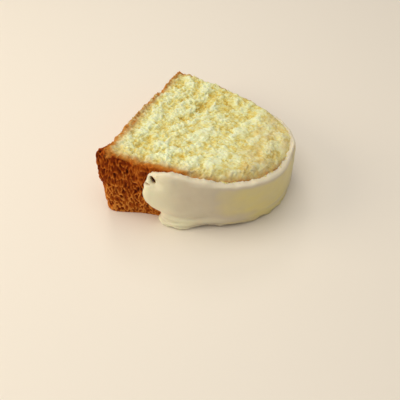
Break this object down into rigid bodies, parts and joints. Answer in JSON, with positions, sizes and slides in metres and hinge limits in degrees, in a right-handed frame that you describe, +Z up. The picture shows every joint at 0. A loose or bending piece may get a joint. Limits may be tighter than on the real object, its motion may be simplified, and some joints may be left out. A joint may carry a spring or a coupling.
{
  "type": "slice of lemon bundt cake",
  "caption": "Wedge of pale yellow ring cake lying on its cut face, with a browned crust, torn crumb and a poured white icing over its rounded crown.",
  "frame": {"origin": "under the middle of the slice's box, on the plane of the lower cut face that it lies on", "axes": "+Z up; +X along the whole cake's own axis, from the baked base to the iced crown; +Y from the ring's outer wall towards its hole"},
  "size_m": [0.0892, 0.1054, 0.0404],
  "materials": {
    "cake": "open pale yellow crumb, matt, with a thin red-brown baked crust on the walls",
    "icing": "set sugar icing, warm white, satin"
  },
  "bodies": {
    "root": {"cake": "cake", "icing": "icing"}
  },
  "joints": []
}
